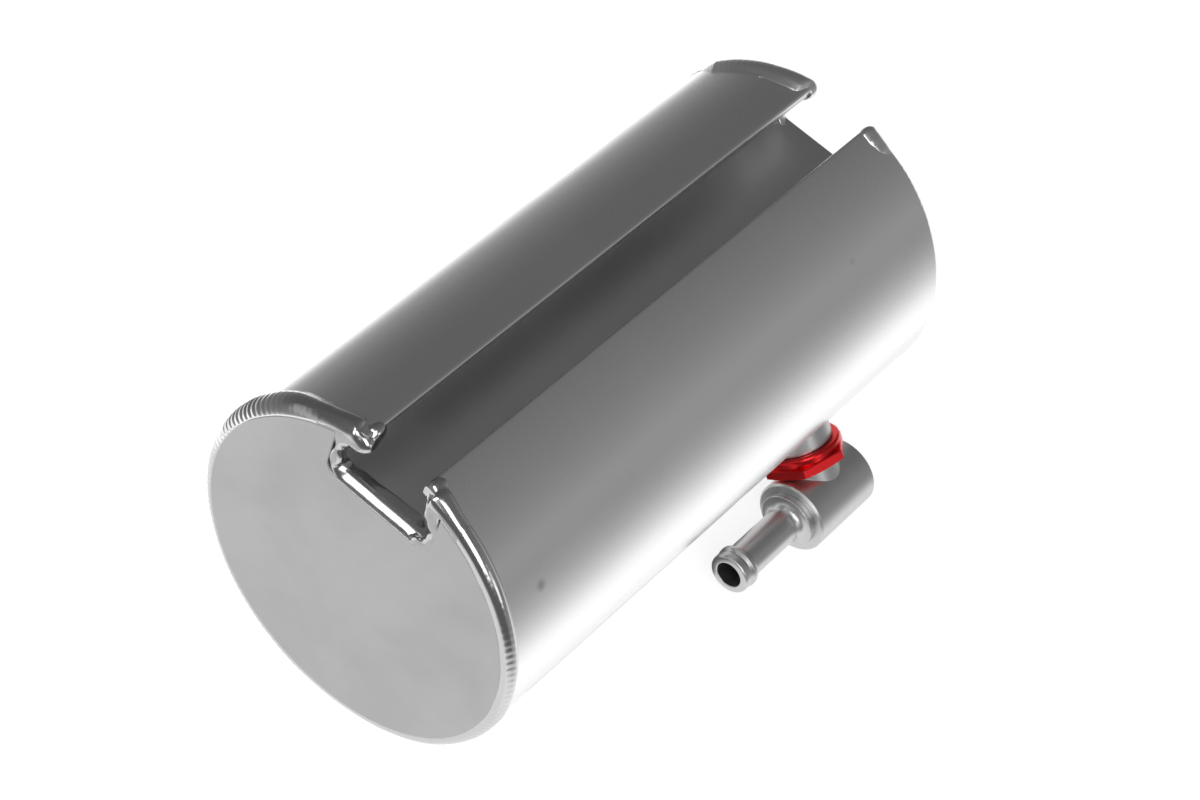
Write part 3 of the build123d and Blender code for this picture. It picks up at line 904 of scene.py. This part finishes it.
class CATCHCAN_OT_cap_welds(bpy.types.Operator):
    """Adds the rippled beads round both caps and round the slot's ends"""

    bl_idname = "catch_can.cap_welds"
    bl_label = "Cap welds"

    def execute(self, context):
        sizes, weld = context.scene.catch_can_sizes, context.scene.catch_can_welds
        finish = context.scene.catch_can_finishes
        place, slot = can_place(), "weld_aluminium"
        bright = metal("weld metal", finish.weld, finish.weld_roughness, EVEN, 420.0, 0.00004, smudge=0.05)
        beads = [self.rim_bead(sizes, weld, NEAR_RIM, 3.8, seed=3)]
        beads.append(self.notch_bead(sizes, weld, (1.0, 1.0, 1.0), seed=7))
        near = melted(shell(beads + [lump(*row) for row in NEAR_LUMPS]), sizes, weld)
        self.mark_flush(near, sizes, weld)
        materials = [bright, bpy.data.materials["cap sheet"]]
        finish_piece("near_cap_weld", near, place, "can", materials, "bottom_cap_weld", sharp=180.0)
        beads = [self.rim_bead(sizes, weld, FAR_RIM, 1.3, seed=12)]
        beads.append(self.notch_bead(sizes, weld, (0.6, 0.7, 0.6), seed=17))
        far = melted(shell(beads + [lump(*row) for row in FAR_LUMPS]), sizes, weld)
        bmesh.ops.transform(far, matrix=Matrix.Diagonal((1, 1, -1, 1)), verts=far.verts[:])
        place = place @ Matrix.Translation((0, 0, can_length()))
        # The far weld's lighter colour is painted light, standing for the bright light on the far end.
        pale = metal("far weld metal painted light", finish.far_weld_painted_light, finish.can_roughness, EVEN, 420.0, 0.00002)
        finish_piece("far_cap_weld", far, place, "can", [pale], "top_cap_weld", sharp=180.0)
        return {"FINISHED"}

    def mark_flush(self, bm, sizes, weld):
        """Gives the second material to the weld that lies flush in the cap's face beside the slot."""
        side = sizes.slot_width / 2 + weld.notch_zone
        edge = can_radius() - 4 * MM
        for face in bm.faces:
            middle = face.calc_center_median()
            flat = middle.z < 0.4 * MM and face.normal.z < -0.97
            flush = flat and abs(middle.y) < side and 0 < middle.x < edge
            face.material_index = 1 if flush else 0

    def rim_bead(self, sizes, weld, rows, gap, seed):
        """The bead round the rim from lip to lip, from the rows of a table."""
        angles, wide, bulge, rippled = np.array(rows).T
        radius = can_radius()
        lip = degrees(asin(sizes.slot_mouth / 2 / radius)) + gap
        ring = np.linspace(lip, 360 - lip, int(radians(360 - 2 * lip) * radius / BEAD_STEP))
        outward = np.stack([np.cos(np.radians(ring)), np.sin(np.radians(ring))], axis=-1)
        places = np.radians(ring - lip) * radius
        reach = np.interp(ring, angles, wide) * MM + wander(places, 9 * MM, seed) * 0.2 * MM
        uneven = 1 + 0.3 * wander(places, 5 * MM, seed + 1)
        ripple = weld.ripple_height * np.interp(ring, angles, rippled) * uneven
        arc = np.radians(np.interp(ring, angles, bulge) + 3 * wander(places, 12 * MM, seed + 2))
        inset = weld.inset + 0.15 * MM * wander(places, 6 * MM, seed + 3)
        return bead(outward * radius, outward, inset, reach, arc, ripple, weld.ripple_pitch)

    def notch_bead(self, sizes, weld, height, seed):
        """The bead down one wall of the slot, along its floor and up the other wall."""
        width, inner = sizes.slot_width / 2, can_radius() - sizes.wall
        top = sqrt(inner**2 - width**2)
        corners = [(top, width, 0), (sizes.slot_floor, width, 2.0 * MM)]
        corners += [(sizes.slot_floor, -width, 3.5 * MM), (top, -width, 0)]
        guide = rounded(corners, steps=24, closed=False)
        run = distances(guide)
        end, wall = run[-1], top - sizes.slot_floor
        places = np.linspace(0, end, int(end / BEAD_STEP))
        line = np.stack([np.interp(places, run, guide[:, i]) for i in (0, 1)], axis=-1)
        along = np.gradient(line, axis=0)
        along /= np.linalg.norm(along, axis=1)[:, None]
        outward = np.stack([-along[:, 1], along[:, 0]], axis=-1)
        right, floor, left = height
        # Distance along the bead, mm over the cap, mm along the wall, half the arc's angle, ripples
        rows = (
            (0, 1.2, 5.0, 62 * right, 0.1),
            (wall * 0.8, 2.4, 5.2, 54 * right, 0.2),
            (wall + 1.5 * MM, 3.0, 5.0, 34 * floor, 0.3),
            (wall + 5.5 * MM, 4.5, 7.4, 54 * floor, 0.1),
            (end - wall - 4 * MM, 3.6, 6.6, 52 * floor, 0.1),
            (end - wall * 0.7, 1.5, 5.0, 44 * left, 1.8),
            (end, 1.5, 6.0, 70 * left, 0.8),
        )
        marks, inset, reach, bulge, rippled = np.array(rows).T
        inset = np.interp(places, marks, inset * MM) + 0.3 * MM * wander(places, 5 * MM, seed)
        reach = np.interp(places, marks, reach * MM) + 0.4 * MM * wander(places, 4 * MM, seed + 1)
        bulge = np.interp(places, marks, bulge) + 2.5 * wander(places, 3.5 * MM, seed + 2)
        ripple = weld.ripple_height * np.interp(places, marks, rippled)
        return bead(line, outward, inset, reach, np.radians(bulge), ripple, weld.ripple_pitch * 1.6)


class CATCHCAN_OT_bung_welds(bpy.types.Operator):
    """Adds the beads round the feet of the inlet and outlet bungs"""

    bl_idname = "catch_can.bung_welds"
    bl_label = "Bung welds"

    def execute(self, context):
        weld, finish = context.scene.catch_can_welds, context.scene.catch_can_finishes
        bright = metal("bung weld metal", finish.weld, finish.weld_roughness, EVEN, 420.0, 0.00004)
        low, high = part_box("inlet_bung_weld")
        bung = (high.x - low.x) / 2 - weld.fitting_bead
        inlet = shell([self.foot_bead(weld, bung, can_radius())])
        finish_piece("inlet_weld", inlet, inlet_place(), "can", [bright], "inlet_bung_weld")
        outlet = shell([self.foot_bead(weld, bung, None)])
        seat = Vector(MOUNTS["outlet_port"]["pos_m"])
        seat.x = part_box("top_cap")[1].x
        place = axes(seat, (1, 0, 0), (0, 0, 1))
        finish_piece("outlet_weld", outlet, place, "can", [bright], "outlet_bung_weld")
        return {"FINISHED"}

    def foot_bead(self, weld, bung, tube):
        """A rippled bead in the corner between a round bung and a tube or a flat plate."""
        ways, size = around(BUNG_BEAD_SIDES), weld.fitting_bead
        angles = np.linspace(0, 2 * pi, len(ways), endpoint=False)
        laps = round(2 * pi * (bung + size / 2) / (weld.ripple_pitch * 1.1))
        rings = []
        for t in np.linspace(0, 1, 12):
            wave = np.abs(np.sin(angles * laps / 2 + 1.2 * sin(pi * t))) - 0.6
            swell = (size - 0.22 * MM) + 0.18 * MM * wave * sin(pi * t)
            height = swell * cos(t * pi / 2) * (0.97 if tube else 1.0)
            rings.append((bung + swell * sin(t * pi / 2), height))
        rings.append((bung - 0.5 * MM, -0.3 * MM))
        if tube:
            rings = [(out, np.sqrt(tube**2 - (out * ways[:, 1]) ** 2) + height) for out, height in rings]
        return lofted(ways, rings)


class CATCHCAN_OT_nut(bpy.types.Operator):
    """Adds the red swivel nut: collar, groove and chamfered hexagon"""

    bl_idname = "catch_can.nut"
    bl_label = "Swivel nut"

    def execute(self, context):
        sizes, finish = context.scene.catch_can_fittings, context.scene.catch_can_finishes
        outline = self.hexagon(sizes)
        reach = np.linalg.norm(outline, axis=1)
        bm = shell([lofted(outline / reach[:, None], self.rings(sizes, reach))])
        rgb = finish.anodised
        red = metal("red anodised", rgb, 0.24, (1, 1, 6), 500.0, 0.00002, tone=0.05, smudge=0.05)
        finish_piece("red_nut", bm, inlet_place(), "elbow", [red], "swivel_nut", sharp=25.0)
        return {"FINISHED"}

    def hexagon(self, sizes):
        """The hexagon's outline with rounded corners and sides cut into short steps."""
        corner = sizes.nut_flats / 2 / cos(pi / 6)
        angles = sizes.nut_turn + np.radians(60.0 * np.arange(6))
        outline = rounded([(corner * cos(a), corner * sin(a), 0.2 * MM) for a in angles], steps=4)
        spread = []
        for i, point in enumerate(outline):
            side = outline[(i + 1) % len(outline)] - point
            steps = 14 if np.linalg.norm(side) > MM else 1
            spread += [point + side * k / steps for k in range(steps)]
        return np.array(spread)

    def rings(self, sizes, reach):
        """The nut's rings (radius, height) from its thread over the outside to its hole."""
        top = inlet_height() - sizes.elbow_radius - sizes.nut_gap
        bottom = top - sizes.nut_height
        groove = bottom + sizes.nut_collar_height
        hexagon = groove + sizes.nut_groove
        flat, neck = sizes.nut_flats / 2, sizes.nut_neck
        shoulder = top - (reach - flat) * tan(sizes.nut_chamfer)
        rings = [
            (sizes.nut_thread, top - 0.02 * MM),
            (flat - 0.15 * MM, top),
            (flat, top - 0.08 * MM),
            (reach, shoulder),
            (reach, shoulder - 0.05 * MM),
            (reach, hexagon + 0.3 * MM),
            (reach - 0.3 * MM, hexagon),
            (neck + 0.2 * MM, hexagon),
            (neck, hexagon - 0.15 * MM),
            (neck, groove + 0.15 * MM),
            (neck + 0.15 * MM, groove),
        ]
        for angle in np.linspace(90, -90, 9):
            edge = 0.5 * MM if angle > 0 else 0.9 * MM
            side = groove - edge if angle > 0 else bottom + edge
            out = sizes.nut_collar - edge + edge * cos(radians(angle))
            rings.append((out, side + edge * sin(radians(angle))))
        floor = bottom + sizes.nut_floor
        return rings + [(sizes.nut_hole, bottom), (sizes.nut_hole, floor), (sizes.nut_thread, floor)]


class CATCHCAN_OT_fittings(bpy.types.Operator):
    """Adds the inlet's turned hose tail and finishes the other fittings, the seal and the baffle"""

    bl_idname = "catch_can.fittings"
    bl_label = "Fittings"

    def execute(self, context):
        sizes, finish = context.scene.catch_can_fittings, context.scene.catch_can_finishes
        satin = metal("turned aluminium", finish.turned, 0.30, (9, 1, 1), 260.0, 0.00002)
        low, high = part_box("inlet_hose_tail")
        face = Vector(SWIVEL["pos_m"])
        face.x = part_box("inlet_elbow")[0].x
        tail = shell([lofted(around(FITTING_SIDES), self.tail(sizes, face.x - high.x, face.x - low.x))])
        place = axes(face, (-1, 0, 0), SWIVEL["axis"])
        slot, replaced = "fitting_aluminium", "inlet_hose_tail"
        finish_piece("inlet_tail", tail, place, "elbow", [satin], replaced, sharp=28.0)
        elbow = metal("elbow aluminium", finish.turned, 0.32, (9, 1, 1), 260.0, 0.00002)
        plain = metal("bung aluminium", finish.turned, 0.34, (2, 1, 1), 400.0, 0.00002)
        dull = metal("baffle sheet", finish.sheet, 0.4, EVEN, 600.0, 0.00003)
        rubber = metal("seal rubber", finish.rubber, 0.55, EVEN, 900.0, 0.00003, metallic=0.0)
        steel = metal("spring steel", finish.steel, 0.3, EVEN, 900.0, 0.00001)
        for material, names in (
            (elbow, ["inlet_elbow"]),
            (plain, ["inlet_bung", "outlet_bung", "outlet_washer", "outlet_hose_tail"]),
            (dull, ["baffle_plate", "baffle_tacks"]),
            (rubber, ["inlet_seal"]),
            (steel, ["nut_wire_ring"]),
        ):
            for name in names:
                dress_node(name, material)
        return {"FINISHED"}

    def tail(self, sizes, root, tip):
        """The tail's closed outline (radius, distance from the elbow) with collar, flare and barb."""
        bore, thread, pipe = sizes.tail_bore / 2, sizes.tail_thread, sizes.tail_radius
        collar, flare, barb, ring = sizes.tail_collar, sizes.tail_flare, sizes.tail_barb, sizes.tail_tip
        corners = [
            (bore, root, 0.2 * MM),
            (thread, root, 0.3 * MM),
            (thread, 0, 0),
            (collar, 0, 0.15 * MM),
            (collar, 2.2 * MM, 0.3 * MM),
            (pipe + flare, 2.2 * MM, 0.12 * MM),
            (pipe, 2.2 * MM, flare),
            (pipe, tip - 6.4 * MM, 0.8 * MM),
            (barb, tip - 5.2 * MM, 0.5 * MM),
            (barb, tip - 4.0 * MM, 0.5 * MM),
            (pipe + 0.3 * MM, tip - 3.2 * MM, 0.4 * MM),
            (ring, tip - 2.5 * MM, 0.5 * MM),
            (ring, tip, 0.9 * MM),
            (bore - 0.3 * MM, tip, 0.3 * MM),
            (bore, tip - 1.0 * MM, 0),
        ]
        return rounded(corners)


class CATCHCAN_PT_panel(bpy.types.Panel):
    """Lists the catch can's pieces"""

    bl_idname = "CATCHCAN_PT_panel"
    bl_label = "Catch Can"
    bl_space_type = "VIEW_3D"
    bl_region_type = "UI"
    bl_category = "Catch Can"

    def draw(self, context):
        for operator in OPERATORS:
            self.layout.operator(operator.bl_idname)
        for name in GROUPS:
            settings = getattr(context.scene, name)
            box = self.layout.box()
            for prop in settings.bl_rna.properties:
                if prop.identifier not in ("rna_type", "name"):
                    box.prop(settings, prop.identifier)


OPERATORS = (
    CATCHCAN_OT_stage,
    CATCHCAN_OT_body,
    CATCHCAN_OT_caps,
    CATCHCAN_OT_cap_welds,
    CATCHCAN_OT_bung_welds,
    CATCHCAN_OT_nut,
    CATCHCAN_OT_fittings,
)
GROUPS = {
    "catch_can_sizes": CanSizes,
    "catch_can_welds": WeldSizes,
    "catch_can_fittings": FittingSizes,
    "catch_can_finishes": Finishes,
    "catch_can_studio": Studio,
}


def register():
    for group in GROUPS.values():
        bpy.utils.register_class(group)
    for operator in OPERATORS:
        bpy.utils.register_class(operator)
    bpy.utils.register_class(CATCHCAN_PT_panel)
    for name, group in GROUPS.items():
        setattr(bpy.types.Scene, name, PointerProperty(type=group))


def unregister():
    for name in GROUPS:
        delattr(bpy.types.Scene, name)
    bpy.utils.unregister_class(CATCHCAN_PT_panel)
    for operator in reversed(OPERATORS):
        bpy.utils.unregister_class(operator)
    for group in reversed(GROUPS.values()):
        bpy.utils.unregister_class(group)


def main():
    """Builds the scene."""
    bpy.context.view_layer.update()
    register()
    bpy.ops.catch_can.stage()
    bpy.ops.catch_can.body()
    bpy.ops.catch_can.caps()
    bpy.ops.catch_can.cap_welds()
    bpy.ops.catch_can.bung_welds()
    bpy.ops.catch_can.nut()
    bpy.ops.catch_can.fittings()


if __name__ == "__main__":
    main()
